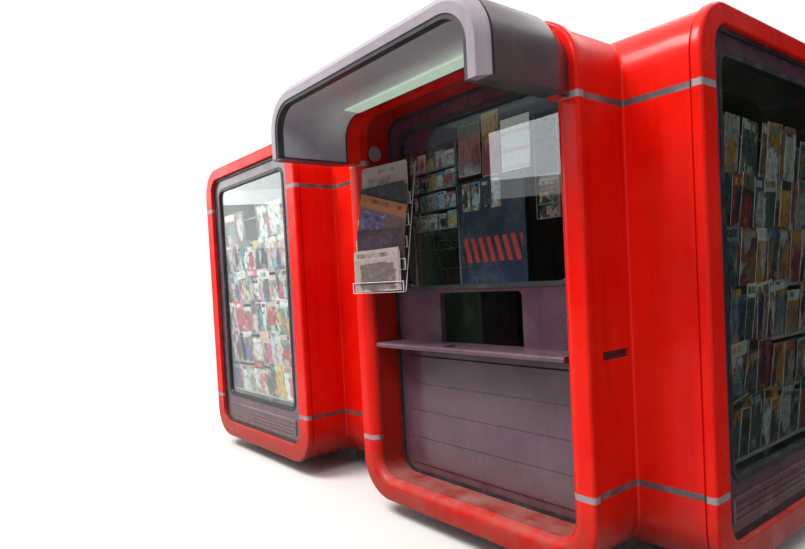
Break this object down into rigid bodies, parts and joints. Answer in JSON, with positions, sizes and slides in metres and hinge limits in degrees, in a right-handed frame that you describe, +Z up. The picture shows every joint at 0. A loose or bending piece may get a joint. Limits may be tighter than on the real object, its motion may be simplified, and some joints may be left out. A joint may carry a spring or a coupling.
{
  "type": "street kiosk",
  "caption": "Modular street kiosk of rounded moulded shells in a row, with display windows, a recessed sales hatch with counter under a projecting hood, and a back door.",
  "frame": {"origin": "on the ground under the middle of the sales module's plinth", "axes": "+X to the right along the sales front and the row of modules, +Y from the sales front to the back, +Z up"},
  "size_m": [4.82, 3.002, 2.616],
  "materials": {
    "red_shell": "glossy gel coat",
    "joint_strip": "satin",
    "rubber": "matt",
    "window_frame": "satin gel coat",
    "glass": "clear",
    "footing": "cast concrete",
    "floor": "worn sheet",
    "rack": "satin",
    "board": "satin",
    "paper": "printed",
    "hood_skin": "satin",
    "hood_ring": "satin",
    "hood_lining": "satin",
    "lamp": "translucent",
    "handle": "brushed",
    "disc": "satin"
  },
  "bodies": {
    "root": {"cheek_disc": "disc", "coupling_seal": "rubber", "door_frame": "window_frame", "door_glass": "glass", "door_handle": "handle", "door_hinges": "handle", "door_leaf": "window_frame", "door_seals": "rubber", "door_sill_panel": "window_frame", "hood_front_ring": "hood_ring", "hood_lamp": "lamp", "hood_lining": "hood_lining", "hood_neck": "red_shell", "hood_seals": "rubber", "hood_skin": "hood_skin", "hood_skirt": "hood_skin", "left_back_window_frame": "window_frame", "left_back_window_glass": "glass", "left_back_window_seals": "rubber", "left_back_window_sill_panel": "window_frame", "left_base_shell": "red_shell", "left_corner_walls": "red_shell", "left_end_window_frame": "window_frame", "left_end_window_glass": "glass", "left_end_window_seals": "rubber", "left_end_window_sill_panel": "window_frame", "left_floor": "floor", "left_front_magazines": "paper", "left_front_rack": "rack", "left_front_window_frame": "window_frame", "left_front_window_glass": "glass", "left_front_window_seals": "rubber", "left_front_window_sill_panel": "window_frame", "left_joint_strips": "joint_strip", "left_plinth": "footing", "left_roof_shell": "red_shell", "newspaper_rack": "rack", "newspapers": "paper", "right_base_shell": "red_shell", "right_corner_walls": "red_shell", "right_end_magazines": "paper", "right_end_rack": "rack", "right_end_window_frame": "window_frame", "right_end_window_glass": "glass", "right_end_window_seals": "rubber", "right_end_window_sill_panel": "window_frame", "right_floor": "floor", "right_joint_strips": "joint_strip", "right_plinth": "footing", "right_roof_shell": "red_shell", "sales_board": "board", "sales_card_rack": "rack", "sales_counter": "window_frame", "sales_liner": "red_shell", "sales_prints": "paper", "sales_window_frame": "window_frame", "sales_window_glass": "glass", "sales_window_seals": "rubber", "sales_window_sill_panel": "window_frame", "slot_plate": "hood_skin"}
  },
  "joints": []
}
